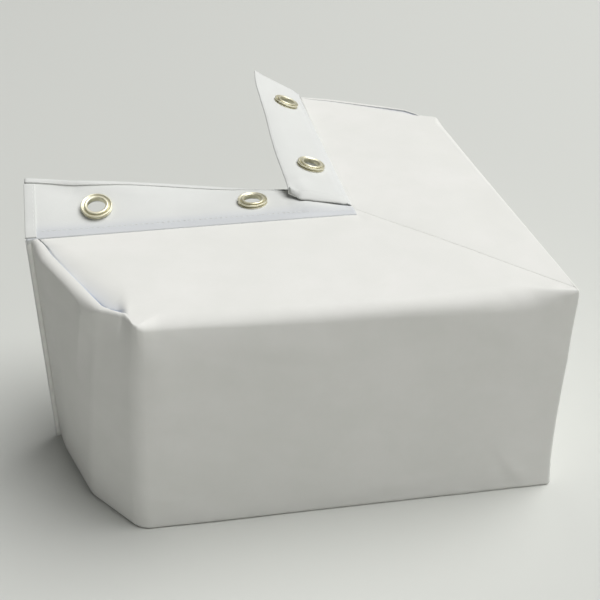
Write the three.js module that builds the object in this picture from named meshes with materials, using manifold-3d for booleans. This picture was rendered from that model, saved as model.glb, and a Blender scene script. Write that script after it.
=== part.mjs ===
// Dock corner bumper: an L-shaped foam pad in a sewn cover of coated fabric, with two
// flanges that fold back over the dock and four brass grommets to fasten them.
// Millimetres, +Z up, standing on its bottom sheet with the dock corner towards -X and +Y.

import * as THREE from 'three';
import { mergeVertices } from 'three/addons/utils/BufferGeometryUtils.js';
import Module from 'manifold-3d';

// Pad
const padHeight = 149.6;
const padDepth = 104.4;
const outerFaceLength = 250;
const dockFaceLength = 303;
const toeIn = 3.2;
const cornerReach = 2.5;
const outerCornerRadius = 2.5;

// Each leg ends in a slanted face that is stuffed round: a heel beside the dock and a
// shoulder beside the outer face
const heelRun = 2.5;
const heelSetback = 20.4;
const heelRadius = 12;
const shoulderRun = 20.5;
const shoulderDepth = 23.5;
const shoulderRadius = 22;
const frontEdgeRadius = 8;
const endBulge = 2.5;
const faceBulge = 0.8;

// The foot of the pad spreads, as the foam sags into its cover
const footSplay = 4.2;
const footCornerReach = 5.5;
const footFrontRun = 7.7;
const footShoulderRun = 16.5;
const footShoulderShift = 9.7;
const footHeelRun = 4.4;
const footHeelShift = 5.4;
const footTipRun = 5;
const footEdgeRun = 1.5;
const footCurl = 12.5;
const curlLength = 46;
const foldRoom = 6;

// Soft rolls along the top edges, each this far in from its side, and the floor seam
const rollHeight = 14;
const leftTopRoll = 9;
const rightTopRoll = 5;
const shoulderRoll = 7;
const endRoll = 7;
const tipRoll = 2.5;
const footRollHeight = 2;
const footRollInset = 1;

// Cover
const coverThickness = 1;
const clearance = 0.3;

// Tucked pocket between the standing lip of each end flap and the top, from the dock
// face to the front edge: how deep and wide it is, and how far the top slopes into it
const pocketAtDock = { depth: 8, width: 1.4, dip: 0.8, slope: 4 };
const pocketAtHeel = { depth: 10, width: 1.8, dip: 1.2, slope: 5 };
const pocketAtMiddle = { depth: 14, width: 2.8, dip: 2.6, slope: 9 };
const pocketAtShoulder = { depth: 14, width: 6, dip: 4, slope: 9 };
const pocketAtFront = { depth: 9, width: 5.5, dip: 3, slope: 4 };
const pocketReach = 0.7;
const lipRoom = 28;

// Back panels, with the flange above the crease
const flangeHeight = 42;
const sideOverhang = 7;
const sideHem = 6.5;
const freeHem = 3;
const endHem = 5;
const creaseBend = 3;
const leftFlangeStart = 112;
const rightFlangeStart = 113.5;
const rightFlangeCorner = { along: 9, up: 7, reach: 15 };
const seatMargin = 1;
const hemStep = 0.15;
const foldMargin = 0.5;

// How far each flange leans back from level and curls over, in degrees, at four places
// from the inner corner to the free end
const leftFlangeShape = [
  { lean: -9, curl: 12 },
  { lean: -1, curl: 33 },
  { lean: 20.5, curl: 4 },
  { lean: 33, curl: 0 },
];
const rightFlangeShape = [
  { lean: 14, curl: 22 },
  { lean: 14.4, curl: 23 },
  { lean: 21, curl: 26 },
  { lean: 30, curl: 10 },
];

// Grommets
const grommetDiameter = 19.2;
const boreDiameter = 11.2;
const barrelWall = 0.5;
const brassThickness = 0.5;
const washerDish = 0.5;
const rolledEdge = 1.5;
const rollRise = 0.75;
const backSwell = 0.75;
const edgeRound = 0.4;

// Where the grommets sit, in from each end of their flange
const leftSetbacks = { near: 57, far: 43 };
const rightSetbacks = { near: 48.5, far: 42 };

// Mesh fineness, and the levels of the sides, as shares of the height, that show their swell
const roundSteps = 3;
const rollSteps = 4;
const swellLevels = [0.25, 0.5, 0.75];
const grommetSides = 24;
const leastRadius = 1;
const largestCutShare = 0.45;
const weldDistance = 1e-4;
const straightTurn = 1e-6;

// How far cutting bodies run past what they cut
const overrun = 6;
const holeLength = 12;
const mitreReach = 1000;

const crease = padHeight - creaseBend;
const panelEdgeLength = dockFaceLength + sideOverhang;
const hemLine = panelEdgeLength - sideHem;
const seatStart = (flangeHeight - grommetDiameter) / 2;
const seatEnd = seatStart + grommetDiameter;
const barrelRadius = boreDiameter / 2 + barrelWall;
const seatHeight = coverThickness / 2 + clearance;

const wasm = await Module();
wasm.setup();

const vinyl = new THREE.MeshStandardMaterial({ color: 0xe6e5df, roughness: 0.5, metalness: 0 });
const lining = new THREE.MeshStandardMaterial({ color: 0xd9dad4, roughness: 0.6, metalness: 0 });
const foam = new THREE.MeshStandardMaterial({ color: 0xc9c4b4, roughness: 0.95, metalness: 0 });
const brass = new THREE.MeshStandardMaterial({ color: 0xd9cf9a, roughness: 0.3, metalness: 1 });

// Lathed pieces turn about this axis before they are laid in their seats
const turningAxis = new THREE.Vector3(0, 1, 0);

// A leg's own coordinates are its length from the outer corner, its depth from the outer
// face and the height; the left leg runs along -X and the right leg along +Y
const leftLeg = {
  name: 'left',
  place: (length, depth, height) => new THREE.Vector3(-length, depth, height),
};
const rightLeg = {
  name: 'right',
  place: (length, depth, height) => new THREE.Vector3(-depth, length, height),
};

function flat(point) {
  return new THREE.Vector2(point.x, point.y);
}

function signedVolume(geometry) {
  const at = geometry.attributes.position;
  const index = geometry.index;
  const a = new THREE.Vector3();
  const b = new THREE.Vector3();
  const c = new THREE.Vector3();
  let volume = 0;
  for (let i = 0; i < index.count; i += 3) {
    a.fromBufferAttribute(at, index.getX(i));
    b.fromBufferAttribute(at, index.getX(i + 1));
    c.fromBufferAttribute(at, index.getX(i + 2));
    volume += a.dot(b.cross(c)) / 6;
  }
  return volume;
}

// One closed surface with shared vertices and its faces outward
function closed(geometry) {
  geometry.deleteAttribute('normal');
  geometry.deleteAttribute('uv');
  const merged = mergeVertices(geometry, weldDistance);
  const kept = [];
  const index = merged.index.array;
  for (let i = 0; i < index.length; i += 3) {
    const [a, b, c] = [index[i], index[i + 1], index[i + 2]];
    if (a !== b && b !== c && c !== a) {
      kept.push(a, b, c);
    }
  }
  merged.setIndex(kept);
  if (signedVolume(merged) < 0) {
    merged.setIndex(kept.reverse());
  }
  return merged;
}

function toSolid(geometry) {
  const shape = closed(geometry);
  return new wasm.Manifold(new wasm.Mesh({
    numProp: 3,
    vertProperties: new Float32Array(shape.attributes.position.array),
    triVerts: new Uint32Array(shape.index.array),
  }));
}

function toGeometry(solid) {
  const mesh = solid.getMesh();
  const geometry = new THREE.BufferGeometry();
  geometry.setAttribute('position', new THREE.BufferAttribute(mesh.vertProperties, 3));
  geometry.setIndex(new THREE.BufferAttribute(mesh.triVerts, 1));
  return geometry;
}

// A closed surface through rings of equal length, each capped end given as a flat outline
function loft(rings, firstOutline, lastOutline) {
  const count = rings[0].length;
  const positions = [];
  for (const point of rings.flat()) {
    positions.push(point.x, point.y, point.z);
  }
  const index = [];
  for (let ring = 0; ring + 1 < rings.length; ring += 1) {
    for (let i = 0; i < count; i += 1) {
      const next = (i + 1) % count;
      const low = ring * count;
      const high = low + count;
      index.push(low + i, low + next, high + next);
      index.push(low + i, high + next, high + i);
    }
  }
  const last = (rings.length - 1) * count;
  const cap = (outline, from, up) => {
    const clockwise = THREE.ShapeUtils.isClockWise(outline);
    for (const [a, b, c] of THREE.ShapeUtils.triangulateShape(outline, [])) {
      const [second, third] = clockwise === up ? [c, b] : [b, c];
      index.push(from + a, from + second, from + third);
    }
  };
  cap(firstOutline, 0, false);
  cap(lastOutline, last, true);
  const geometry = new THREE.BufferGeometry();
  geometry.setAttribute('position', new THREE.Float32BufferAttribute(positions, 3));
  geometry.setIndex(index);
  return geometry;
}

// Share of the foot's curl at a height: all of it on the floor, none from the crease up
function curlShare(height) {
  return Math.max(1 - height / crease, 0);
}

// The dock face folds in towards its free foot along a line that slants up to the tip
function foldLength(height) {
  return dockFaceLength - curlLength * curlShare(height);
}

// Plan of one leg at a height: the corners that both legs share, as length and depth
function legCorners(height) {
  const foot = 1 - height / padHeight;
  const curl = curlShare(height);
  return {
    tip: [dockFaceLength + footTipRun * curl, padDepth - footCurl * curl],
    heel: [
      dockFaceLength - heelRun + footHeelRun * foot,
      padDepth - heelSetback - footHeelShift * foot,
    ],
    shoulder: [
      outerFaceLength + shoulderRun + footShoulderRun * foot,
      shoulderDepth + footShoulderShift * foot,
    ],
    front: [outerFaceLength + footFrontRun * foot ** 2, toeIn - footSplay * foot],
  };
}

// The L-shaped plan at a height, anticlockwise, each side drawn in by its own inset
function planCorners(height, inset) {
  const corners = legCorners(height);
  const foot = 1 - height / padHeight;
  const at = (leg, [length, depth]) => flat(leg.place(length, depth, 0));
  const reach = THREE.MathUtils.lerp(cornerReach, footCornerReach, foot);
  const fold = [Math.min(foldLength(height), dockFaceLength - foldRoom), padDepth];
  const list = [
    { at: at(leftLeg, corners.tip), side: 'tip', radius: 0 },
    { at: at(leftLeg, corners.heel), side: 'end', radius: heelRadius },
    { at: at(leftLeg, corners.shoulder), side: 'shoulder', radius: shoulderRadius },
    { at: at(leftLeg, corners.front), side: 'outer', radius: frontEdgeRadius },
    { at: new THREE.Vector2(reach, -reach), side: 'outerRight', radius: outerCornerRadius },
    { at: at(rightLeg, corners.front), side: 'shoulder', radius: frontEdgeRadius },
    { at: at(rightLeg, corners.shoulder), side: 'end', radius: shoulderRadius },
    { at: at(rightLeg, corners.heel), side: 'tip', radius: heelRadius },
    { at: at(rightLeg, corners.tip), side: 'dock', radius: 0 },
    { at: at(rightLeg, fold), side: 'dock', radius: 0 },
    { at: new THREE.Vector2(-padDepth, padDepth), side: 'dock', radius: 0 },
    { at: at(leftLeg, fold), side: 'dock', radius: 0 },
  ];
  const count = list.length;
  const sides = list.map((corner, i) => {
    const along = list[(i + 1) % count].at.clone().sub(corner.at).normalize();
    const inward = new THREE.Vector2(-along.y, along.x);
    return { along, through: corner.at.clone().addScaledVector(inward, inset[corner.side]) };
  });
  return list.map((corner, i) => {
    const before = sides[(i + count - 1) % count];
    const after = sides[i];
    const turn = before.along.cross(after.along);
    if (Math.abs(turn) < straightTurn) {
      return { ...corner, at: after.through };
    }
    const run = after.through.clone().sub(before.through).cross(after.along) / turn;
    return { ...corner, at: before.through.clone().addScaledVector(before.along, run) };
  });
}

// The same plan with its corners rounded, always with the same number of points
function planOutline(height, inset) {
  const corners = planCorners(height, inset);
  const points = [];
  corners.forEach((corner, i) => {
    if (corner.radius === 0) {
      points.push(corner.at);
      return;
    }
    const before = corners[(i + corners.length - 1) % corners.length].at;
    const after = corners[(i + 1) % corners.length].at;
    const drawnIn = Math.max(inset[corner.side], 0);
    const radius = Math.max(corner.radius - drawnIn, leastRadius);
    const into = corner.at.clone().sub(before);
    const out = after.clone().sub(corner.at);
    const turn = Math.abs(into.angleTo(out));
    const room = largestCutShare * Math.min(into.length(), out.length());
    const cut = Math.min(radius * Math.tan(turn / 2), room);
    const start = corner.at.clone().addScaledVector(into.normalize(), -cut);
    const end = corner.at.clone().addScaledVector(out.normalize(), cut);
    const arc = new THREE.QuadraticBezierCurve(start, corner.at, end);
    points.push(...arc.getPoints(roundSteps));
  });
  return points;
}

// How far each side is drawn in at a height: skin is the distance under the outer surface
// and dockSide the place of the dock faces
function insetAt(height, skin, dockSide) {
  const bulge = Math.sin(Math.PI * THREE.MathUtils.clamp(height / padHeight, 0, 1));
  const foot = footRollInset * THREE.MathUtils.clamp(1 - height / footRollHeight, 0, 1);
  const aboveRoll = height - padHeight + rollHeight;
  const rise = THREE.MathUtils.clamp(aboveRoll / (rollHeight - skin), 0, 1);
  const share = 1 - Math.sqrt(1 - rise * rise);
  const side = (roll, swell) => {
    const start = skin + foot - swell * bulge;
    return start + Math.max(roll - skin, 0) * share;
  };
  return {
    outer: side(leftTopRoll, faceBulge),
    outerRight: side(rightTopRoll, faceBulge),
    shoulder: side(shoulderRoll, endBulge),
    end: side(endRoll, endBulge),
    tip: side(tipRoll, 0),
    dock: dockSide,
  };
}

// The pad's body, drawn in by skin, from a bottom height up to its top
function padBody(skin, bottom, dockSide) {
  const heights = [];
  if (bottom < 0) {
    heights.push(bottom);
  }
  heights.push(Math.max(bottom, 0), footRollHeight);
  heights.push(...swellLevels.map((share) => share * padHeight));
  for (let step = 0; step <= rollSteps; step += 1) {
    const angle = (step / rollSteps) * (Math.PI / 2);
    heights.push(padHeight - rollHeight + (rollHeight - skin) * Math.sin(angle));
  }
  const outlines = heights.map((height) => {
    const level = Math.max(height, 0);
    return planOutline(level, insetAt(level, skin, dockSide));
  });
  const rings = outlines.map((outline, i) => {
    return outline.map((point) => new THREE.Vector3(point.x, point.y, heights[i]));
  });
  return loft(rings, outlines[0], outlines[outlines.length - 1]);
}

// Section of a pocket, from the lip's crest inward, grown by skin
function pocketSection(pocket, skin, growLip) {
  const floor = padHeight - pocket.depth - skin;
  return [
    new THREE.Vector2(-growLip, padHeight + overrun),
    new THREE.Vector2(-growLip, floor),
    new THREE.Vector2(pocket.width / 2 + skin, floor),
    new THREE.Vector2(pocket.width + skin, padHeight - pocket.dip - skin),
    new THREE.Vector2(pocket.width + pocket.slope, padHeight - skin),
    new THREE.Vector2(pocket.width + pocket.slope, padHeight + overrun),
  ];
}

// Section of the space inside the lip, where the fabric is folded without foam
function lipSection(pocket, skin) {
  const floor = padHeight - pocket.depth - skin;
  const inner = -(coverThickness + clearance / 2);
  return [
    new THREE.Vector2(-lipRoom, padHeight + overrun),
    new THREE.Vector2(-lipRoom, floor),
    new THREE.Vector2(inner, floor),
    new THREE.Vector2(inner, padHeight + overrun),
  ];
}

// A body with these sections that follows the crest of the end flap's lip
function alongLip(leg, skin, sectionOf) {
  const crest = planCorners(padHeight, insetAt(padHeight, 0, 0));
  const [tip, heel, shoulder, front] = leg === leftLeg
    ? [crest[0].at, crest[1].at, crest[2].at, crest[3].at]
    : [crest[8].at, crest[7].at, crest[6].at, crest[5].at];
  const beyond = tip.clone().add(tip.clone().sub(heel).setLength(overrun));
  const frontEnd = shoulder.clone().lerp(front, pocketReach);
  frontEnd.add(flat(leg.place(-skin, 0, 0)));
  const stations = [
    { at: beyond, pocket: pocketAtDock },
    { at: heel, pocket: pocketAtHeel },
    { at: heel.clone().lerp(shoulder, 0.5), pocket: pocketAtMiddle },
    { at: shoulder, pocket: pocketAtShoulder },
    { at: frontEnd, pocket: pocketAtFront },
  ];
  const turnInward = leg === leftLeg ? 1 : -1;
  const sections = stations.map(({ pocket }) => sectionOf(pocket, skin));
  const rings = stations.map(({ at }, i) => {
    const before = stations[Math.max(i - 1, 0)].at;
    const after = stations[Math.min(i + 1, stations.length - 1)].at;
    const along = after.clone().sub(before).normalize();
    const atFront = i === stations.length - 1;
    const inward = atFront
      ? flat(leg.place(0, 1, 0))
      : new THREE.Vector2(-along.y, along.x).multiplyScalar(turnInward);
    return sections[i].map(({ x, y }) => {
      const point = at.clone().addScaledVector(inward, x);
      return new THREE.Vector3(point.x, point.y, y);
    });
  });
  return loft(rings, sections[0], sections[sections.length - 1]);
}

// The hollow of one pocket, grown by skin, and by growLip into the lip
function pocketBody(leg, skin, growLip) {
  return alongLip(leg, skin, (pocket) => pocketSection(pocket, skin, growLip));
}

// Half of the space on one side of the mitre through the inner and the outer corner
function mitreHalf(side) {
  const box = new THREE.BoxGeometry(mitreReach, mitreReach, mitreReach);
  box.translate((mitreReach + clearance) / 2, 0, 0);
  box.rotateZ(side > 0 ? Math.PI / 4 : -3 * Math.PI / 4);
  return toSolid(box);
}

// Heading of the panel's section at a distance above the crease: upright below it, then
// leaning back over the dock, flat where the grommets sit and curled before and after
function heading(shape, above) {
  const upright = Math.PI / 2;
  const lean = THREE.MathUtils.degToRad(shape.lean);
  const curl = THREE.MathUtils.degToRad(shape.curl);
  if (above < 0) {
    return upright;
  }
  if (above < creaseBend) {
    return THREE.MathUtils.lerp(upright, lean + curl, above / creaseBend);
  }
  if (above < seatStart) {
    return lean + curl * (1 - (above - creaseBend) / (seatStart - creaseBend));
  }
  if (above < seatEnd) {
    return lean;
  }
  return lean - curl * (above - seatEnd) / (flangeHeight - seatEnd);
}

// Lean and curl at a length along the leg, from the four places that state them
function flangeShapeAt(shapes, lengths, length) {
  let i = 0;
  while (i < lengths.length - 2 && length > lengths[i + 1]) {
    i += 1;
  }
  const share = THREE.MathUtils.clamp((length - lengths[i]) / (lengths[i + 1] - lengths[i]), 0, 1);
  return {
    lean: THREE.MathUtils.lerp(shapes[i].lean, shapes[i + 1].lean, share),
    curl: THREE.MathUtils.lerp(shapes[i].curl, shapes[i + 1].curl, share),
  };
}

// Distances above the crease of the flange's rows of points, out to its free edge
const flangeRows = [
  -creaseBend,
  -creaseBend / 2,
  0,
  creaseBend / 2,
  creaseBend,
  (creaseBend + seatStart) / 2,
  seatStart,
  seatEnd,
  (seatEnd + flangeHeight - freeHem) / 2,
  flangeHeight - freeHem - hemStep,
  flangeHeight - freeHem + hemStep,
  flangeHeight,
];

// Lengths along the leg of the flange's columns of points, each with the length whose
// shape it takes: one shape from side to side of a grommet, so that its seat is flat
function flangeColumns(spec) {
  const endHemLine = spec.start + endHem;
  const columns = [
    { length: spec.start, shapeAt: spec.start, hem: spec.endHem },
    { length: endHemLine - hemStep, shapeAt: endHemLine, hem: spec.endHem },
    { length: endHemLine + hemStep, shapeAt: endHemLine },
    { length: hemLine - hemStep, shapeAt: hemLine },
    { length: hemLine + hemStep, shapeAt: hemLine, hem: true },
    { length: panelEdgeLength, shapeAt: panelEdgeLength, hem: true },
  ];
  const seatHalf = grommetDiameter / 2 + seatMargin;
  for (const grommet of spec.grommets) {
    columns.push({ length: grommet - seatHalf, shapeAt: grommet, seat: true });
    columns.push({ length: grommet + seatHalf, shapeAt: grommet });
  }
  const [near, far] = spec.grommets;
  for (const share of [1 / 3, 2 / 3]) {
    const length = THREE.MathUtils.lerp(near, far, share);
    columns.push({ length, shapeAt: length });
  }
  return columns.sort((one, other) => one.length - other.length);
}

// One column of the flange, from just below the crease: points on both faces and between
function columnPoints(leg, spec, { length, shapeAt, hem }) {
  const shape = flangeShapeAt(spec.shape, [spec.start, ...spec.grommets, panelEdgeLength], shapeAt);
  let depth = padDepth + clearance + coverThickness / 2;
  let height = crease;
  return flangeRows.map((above, row) => {
    if (row > 0) {
      const rise = above - flangeRows[row - 1];
      const between = heading(shape, above - rise / 2);
      depth += rise * Math.cos(between);
      height += rise * Math.sin(between);
    }
    const angle = heading(shape, above);
    const hemmed = (above > 0 && hem) || above > flangeHeight - freeHem;
    const along = length + spec.shift(length, above);
    const at = (offset) => {
      return leg.place(along, depth - Math.sin(angle) * offset, height + Math.cos(angle) * offset);
    };
    return {
      front: at(coverThickness / 2 + (hemmed ? coverThickness : 0)),
      back: at(-coverThickness / 2),
      middle: at(0),
    };
  });
}

// The panel below the crease, behind the pad, its side hem folded to the dock side
function panelStrip(leg, spec) {
  const rings = [0, crease].map((height) => {
    const curl = curlShare(height);
    const slope = footCurl / (curlLength + footTipRun);
    const foldAt = foldLength(height);
    const depthAt = (length) => padDepth + clearance - slope * Math.max(length - foldAt, 0);
    const edge = panelEdgeLength + footEdgeRun * curl;
    const hem = hemLine + footEdgeRun * curl;
    const sheet = hem - 2 * hemStep;
    const fold = Math.min(foldAt, hem - foldMargin);
    const outline = [
      [spec.panelStart, 0],
      [fold, 0],
      [hem, 0],
      [edge, 0],
      [edge, 2],
      [hem, 2],
      [sheet, 1],
      [fold, 1],
      [spec.panelStart, 1],
    ];
    return outline.map(([length, layers]) => {
      return leg.place(length, depthAt(length) + layers * coverThickness, height);
    });
  });
  return loft(rings, rings[0].map(flat), rings[1].map(flat));
}

// The closed sheet between the front and the back points of columns
function sheetBody(grid) {
  const columns = grid.length;
  const rows = grid[0].length;
  const positions = [];
  for (const face of ['front', 'back']) {
    for (const point of grid.flat()) {
      positions.push(point[face].x, point[face].y, point[face].z);
    }
  }
  const front = (column, row) => column * rows + row;
  const back = (column, row) => columns * rows + column * rows + row;
  const index = [];
  const quad = (a, b, c, d) => index.push(a, b, c, a, c, d);
  const top = rows - 1;
  for (let column = 0; column + 1 < columns; column += 1) {
    const next = column + 1;
    for (let row = 0; row < top; row += 1) {
      quad(front(column, row), front(next, row), front(next, row + 1), front(column, row + 1));
      quad(back(column, row), back(column, row + 1), back(next, row + 1), back(next, row));
    }
    quad(front(column, 0), back(column, 0), back(next, 0), front(next, 0));
    quad(front(column, top), front(next, top), back(next, top), back(column, top));
  }
  for (let row = 0; row + 1 < rows; row += 1) {
    quad(front(0, row), front(0, row + 1), back(0, row + 1), back(0, row));
    const end = columns - 1;
    quad(front(end, row), back(end, row), back(end, row + 1), front(end, row + 1));
  }
  const geometry = new THREE.BufferGeometry();
  geometry.setAttribute('position', new THREE.Float32BufferAttribute(positions, 3));
  geometry.setIndex(index);
  return geometry;
}

// Where a grommet sits: the middle of the flat patch between two columns
function seatBetween(column, nextColumn) {
  const row = flangeRows.indexOf(seatStart);
  const patch = [column[row], nextColumn[row], nextColumn[row + 1], column[row + 1]];
  const corners = patch.map((point) => point.middle);
  const centre = new THREE.Vector3();
  corners.forEach((corner) => centre.addScaledVector(corner, 1 / corners.length));
  const oneWay = corners[2].clone().sub(corners[0]);
  const otherWay = corners[3].clone().sub(corners[1]);
  const normal = oneWay.cross(otherWay).normalize();
  if (normal.z < 0) {
    normal.negate();
  }
  return { centre, normal };
}

function holeBody({ centre, normal }) {
  const radius = barrelRadius + clearance;
  const hole = new THREE.CylinderGeometry(radius, radius, holeLength, grommetSides);
  hole.applyQuaternion(new THREE.Quaternion().setFromUnitVectors(turningAxis, normal));
  hole.translate(centre.x, centre.y, centre.z);
  return toSolid(hole);
}

function lathed(profile) {
  const points = profile.map(([radius, height]) => new THREE.Vector2(radius, height));
  points.push(points[0].clone());
  return closed(new THREE.LatheGeometry(points, grommetSides));
}

// Eyelet: a back flange and a barrel through the sheet, its front edge rolled over
function eyeletGeometry() {
  const bore = boreDiameter / 2;
  const rim = grommetDiameter / 2;
  const rollOut = barrelRadius + rolledEdge;
  const under = -seatHeight;
  const rollFloor = seatHeight + brassThickness + clearance;
  const rollTop = rollFloor + rollRise;
  return lathed([
    [bore, under - backSwell + edgeRound],
    [bore + edgeRound, under - backSwell],
    [rim - 2 * edgeRound, under - backSwell],
    [rim, under - backSwell / 2],
    [rim - edgeRound, under],
    [barrelRadius, under],
    [barrelRadius, rollFloor],
    [rollOut, rollFloor],
    [rollOut - edgeRound / 2, rollFloor + rollRise / 2],
    [barrelRadius + rolledEdge / 2, rollTop],
    [bore + edgeRound, rollTop],
    [bore, rollTop - edgeRound],
  ]);
}

// Washer: a dished ring over the front of the sheet, around the barrel
function washerGeometry() {
  const inner = barrelRadius + clearance;
  const rim = grommetDiameter / 2;
  const top = seatHeight + brassThickness;
  return lathed([
    [inner, seatHeight],
    [rim, seatHeight],
    [rim, top],
    [rim - edgeRound, top + washerDish],
    [rim - 2 * edgeRound, top + washerDish],
    [inner + rolledEdge, top],
    [inner, top],
  ]);
}

const bumper = new THREE.Group();

function addPiece(name, geometry, material) {
  const mesh = new THREE.Mesh(geometry, material);
  mesh.name = name;
  bumper.add(mesh);
  return mesh;
}

function addGrommet(name, geometry, { centre, normal }) {
  const mesh = addPiece(name, geometry, brass);
  mesh.quaternion.setFromUnitVectors(turningAxis, normal);
  mesh.position.copy(centre);
}

// Foam block, cut away under each pocket and lip so that the cover can tuck in
const foamSkin = coverThickness + clearance;
let foamBlock = toSolid(padBody(foamSkin, foamSkin, 0));
for (const leg of [leftLeg, rightLeg]) {
  foamBlock = foamBlock
    .subtract(toSolid(pocketBody(leg, foamSkin, foamSkin)))
    .subtract(toSolid(alongLip(leg, foamSkin, lipSection)));
}
addPiece('foam_core', toGeometry(foamBlock), foam);

// Cover shell over the top, the outer faces and the ends, open at the dock and the floor
let cover = toSolid(padBody(0, 0, 0));
let hollow = toSolid(padBody(coverThickness, -overrun, -overrun));
for (const leg of [leftLeg, rightLeg]) {
  cover = cover.subtract(toSolid(pocketBody(leg, 0, 0)));
  hollow = hollow.subtract(toSolid(pocketBody(leg, coverThickness, coverThickness)));
}
const shell = cover.subtract(hollow);
addPiece('left_wrap_panel', toGeometry(shell.intersect(mitreHalf(-1))), vinyl);
addPiece('right_wrap_panel', toGeometry(shell.intersect(mitreHalf(1))), vinyl);

// Bottom sheet inside the foot of the shell
const floorInset = insetAt(0, coverThickness + clearance, 0);
const floorPlan = planOutline(0, floorInset);
const floorRings = [0, coverThickness].map((height) => {
  return floorPlan.map((point) => new THREE.Vector3(point.x, point.y, height));
});
addPiece('bottom_panel', closed(loft(floorRings, floorPlan, floorPlan)), vinyl);

// Back panels: the right one ends on the left one's front face below the crease, and its
// flange lies over the left flange at the inner corner
const leftSpec = {
  panelStart: padDepth + coverThickness + 2 * clearance,
  start: leftFlangeStart,
  endHem: false,
  shape: leftFlangeShape,
  grommets: [leftFlangeStart + leftSetbacks.near, panelEdgeLength - leftSetbacks.far],
  shift: () => 0,
};
const rightSpec = {
  panelStart: padDepth + clearance,
  start: rightFlangeStart,
  endHem: true,
  shape: rightFlangeShape,
  grommets: [rightFlangeStart + rightSetbacks.near, panelEdgeLength - rightSetbacks.far],
  shift: (length, above) => {
    const { along, up, reach } = rightFlangeCorner;
    const chamfer = Math.max(above - flangeHeight + up, 0) / up;
    const pull = Math.max(1 - (length - rightFlangeStart) / reach, 0);
    return along * pull * chamfer;
  },
};
for (const [leg, spec] of [[leftLeg, leftSpec], [rightLeg, rightSpec]]) {
  const columns = flangeColumns(spec);
  const grid = columns.map((column) => columnPoints(leg, spec, column));
  let panel = toSolid(sheetBody(grid)).add(toSolid(panelStrip(leg, spec)));
  let number = 1;
  for (let i = 0; i < columns.length; i += 1) {
    if (columns[i].seat) {
      const seat = seatBetween(grid[i], grid[i + 1]);
      panel = panel.subtract(holeBody(seat));
      addGrommet(`${leg.name}_eyelet_${number}`, eyeletGeometry(), seat);
      addGrommet(`${leg.name}_washer_${number}`, washerGeometry(), seat);
      number += 1;
    }
  }
  addPiece(`${leg.name}_back_panel`, toGeometry(panel), lining);
}

// The origin is on the floor under the middle of the whole bumper
const extent = new THREE.Box3().setFromObject(bumper, true);
const middle = extent.getCenter(new THREE.Vector3());
bumper.position.set(-middle.x, -middle.y, -extent.min.z);

export default bumper;
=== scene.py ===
import math

import bpy
import numpy as np
from mathutils import Matrix, Quaternion, Vector


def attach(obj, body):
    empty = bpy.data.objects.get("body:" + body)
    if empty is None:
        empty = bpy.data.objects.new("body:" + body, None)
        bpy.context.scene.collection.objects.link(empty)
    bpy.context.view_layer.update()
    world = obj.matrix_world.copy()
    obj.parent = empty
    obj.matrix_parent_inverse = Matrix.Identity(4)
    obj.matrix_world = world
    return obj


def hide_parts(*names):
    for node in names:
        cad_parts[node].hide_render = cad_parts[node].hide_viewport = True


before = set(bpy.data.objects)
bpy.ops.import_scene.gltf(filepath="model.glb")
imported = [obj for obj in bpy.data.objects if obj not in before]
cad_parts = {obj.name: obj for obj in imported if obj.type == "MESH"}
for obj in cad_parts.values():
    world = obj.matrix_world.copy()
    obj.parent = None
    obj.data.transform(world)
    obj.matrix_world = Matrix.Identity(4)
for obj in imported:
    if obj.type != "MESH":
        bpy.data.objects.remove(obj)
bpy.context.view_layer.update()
scene = bpy.context.scene
scene.view_settings.view_transform = "Standard"


# Camera. It stands in front of the left leg and looks down on the bumper from about 35
# degrees, turned a little about its own line of sight.
CAMERA_PLACE = Vector((-0.082853, -0.530827, 0.427283))
CAMERA_AZIMUTH = math.radians(-11.2)
CAMERA_ELEVATION = math.radians(34.698)
CAMERA_ROLL = math.radians(1.1688)

away = Vector((
    math.sin(CAMERA_AZIMUTH) * math.cos(CAMERA_ELEVATION),
    -math.cos(CAMERA_AZIMUTH) * math.cos(CAMERA_ELEVATION),
    math.sin(CAMERA_ELEVATION),
))
camera_data = bpy.data.cameras.new("camera")
camera_data.lens = 53.19
camera_data.sensor_width = 36.0
camera_data.clip_start = 0.02
camera = bpy.data.objects.new("camera", camera_data)
scene.collection.objects.link(camera)
camera.rotation_mode = "QUATERNION"
camera.rotation_quaternion = (-away).to_track_quat("-Z", "Y") @ Quaternion((0, 0, 1), CAMERA_ROLL)
camera.location = CAMERA_PLACE
scene.camera = camera


# Cover of the pad. White vinyl-coated fabric, about 1 mm thick, cut in two panels that meet
# in a mitre seam at the outer corner. Each wraps the top, the outer face and the slanted end
# of one leg, and its end flap stands up as a soft lip with a tucked pocket behind it.
PAD_HEIGHT = 149.6
PAD_DEPTH = 104.7
CREASE = 146.6
COVER_THICKNESS = 1.0
# Places are in mm. The outer corner stands this far from the frame's origin, along x and along y
ORIGIN = 153.0252
# How far in from its edge the top is drawn as rings that follow the outline
POCKET_ROOM = 33.0
# Low down, the far end of each leg bends away from the dock: where the bend starts at the
# crease's height, how much sooner it starts at the floor, and how deep it goes there
BEND_FROM, BEND_SOONER, BEND_DEPTH = 303, 46, 12.5
# Where the mitre seam ends on the plan, at the right leg's crease
SEAM_IN = np.array((-104.7, 113.4))
# Height, then how far the pad reaches at its outer corner
OUTER_CORNER = (
    (0, 6.8), (5, 6.14), (20, 4.64), (40, 3.45), (60, 2.61), (80, 2.01), (100, 1.57), (120, 0.74),
    (130, 0.53), (138, 0.36), (143, 0.25), (147, 0.1), (149.6, -0.28),
)


def smooth(value, low=0.0, high=1.0):
    share = np.clip((value - low) / (high - low), 0, 1)
    return share * share * (3 - 2 * share)


def hump(value, middle, width):
    return np.exp(-(((value - middle) / width) ** 2))


def from_table(table, place):
    """Straight-line values from rows of a place followed by one or more values."""
    rows = np.array(table, float).T
    values = [np.interp(place, rows[0], row) for row in rows[1:]]
    return values[0] if len(values) == 1 else values


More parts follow.
